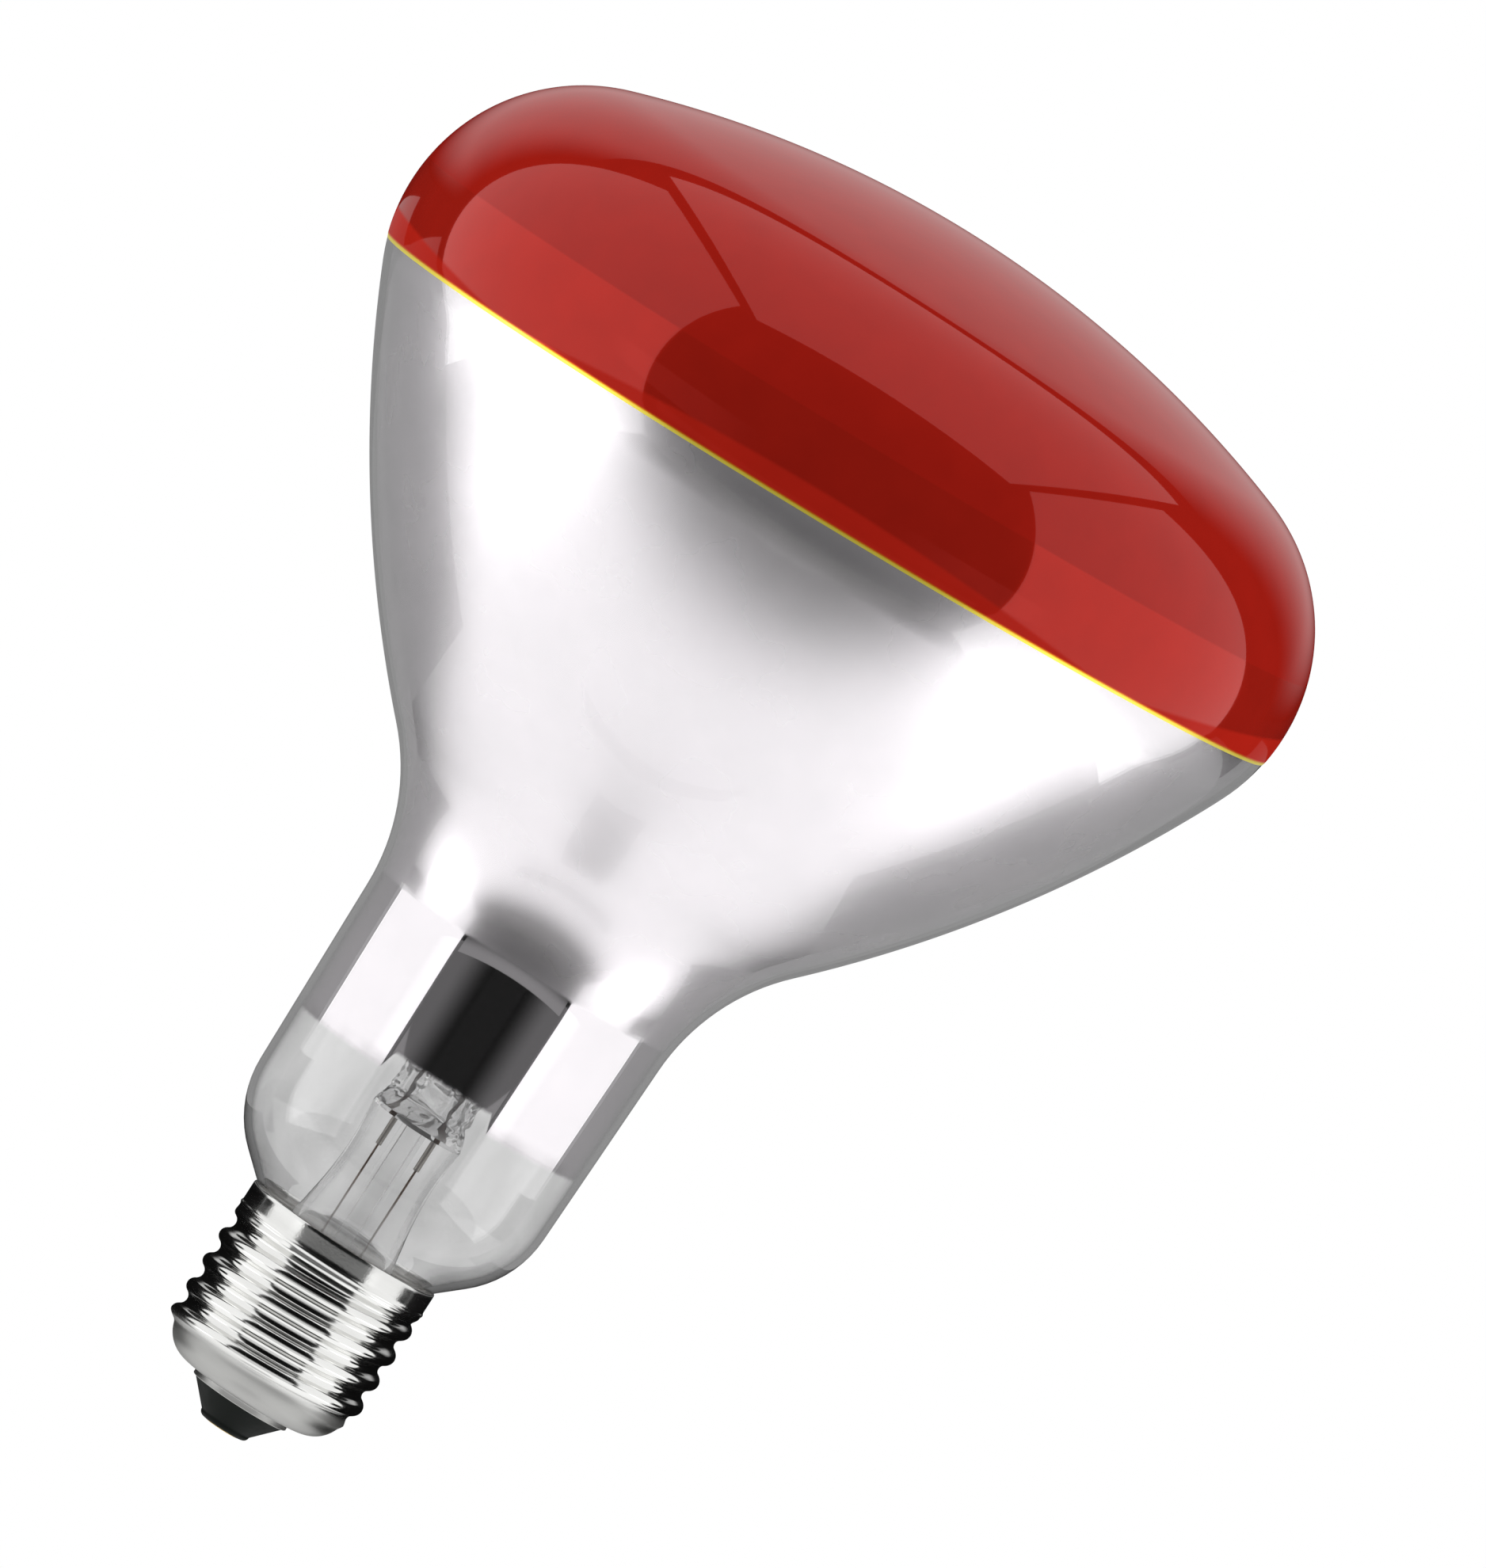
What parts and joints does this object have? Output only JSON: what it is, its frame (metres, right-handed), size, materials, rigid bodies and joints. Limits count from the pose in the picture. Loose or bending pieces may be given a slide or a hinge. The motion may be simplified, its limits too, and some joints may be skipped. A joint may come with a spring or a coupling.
{
  "type": "infrared heat lamp bulb",
  "caption": "Reflector heat lamp bulb: blown glass with a silvered reflector and a red lacquered face, a clear neck that shows the stem, and a nickel-plated screw cap.",
  "frame": {"origin": "tip of the centre contact, on the lamp's axis", "axes": "+Z along the lamp's axis from the cap to the red face, -Y towards the camera of the picture"},
  "size_m": [0.1254, 0.1254, 0.171],
  "materials": {
    "bulb_glass": "clear blown glass",
    "mirror_film": "evaporated aluminium behind glass",
    "red_lacquer": "glossy translucent red lacquer",
    "nickel_plate": "bright rolled nickel plate",
    "black_glass": "opaque black glass",
    "contact_brass": "stamped brass",
    "solder": "dull tin solder",
    "cap_cement": "baked cement",
    "stem_glass": "drawn lead glass",
    "nickel_wire": "drawn nickel wire",
    "seal_wire": "copper-clad wire, red in the seal",
    "thin_wire": "bare copper wire",
    "tungsten_coil": "drawn tungsten wire",
    "support_metal": "drawn molybdenum wire"
  },
  "bodies": {
    "root": {"glass_bulb": "bulb_glass", "mirror_coat": "mirror_film", "red_coat": "red_lacquer", "cap_shell": "nickel_plate", "cap_insulator": "black_glass", "centre_contact": "contact_brass", "centre_solder": "solder", "side_solder": "solder", "cap_cement": "cap_cement", "stem_flare": "stem_glass", "exhaust_tube": "stem_glass", "arbor_rod": "stem_glass", "near_inner_lead": "nickel_wire", "far_inner_lead": "nickel_wire", "near_seal_wire": "seal_wire", "far_seal_wire": "seal_wire", "near_lead_sleeve": "nickel_wire", "far_lead_sleeve": "nickel_wire", "near_outer_lead": "thin_wire", "far_outer_lead": "thin_wire", "filament": "tungsten_coil", "support_wire_1": "support_metal", "support_wire_2": "support_metal", "support_wire_3": "support_metal", "support_wire_4": "support_metal", "support_wire_5": "support_metal"}
  },
  "joints": []
}
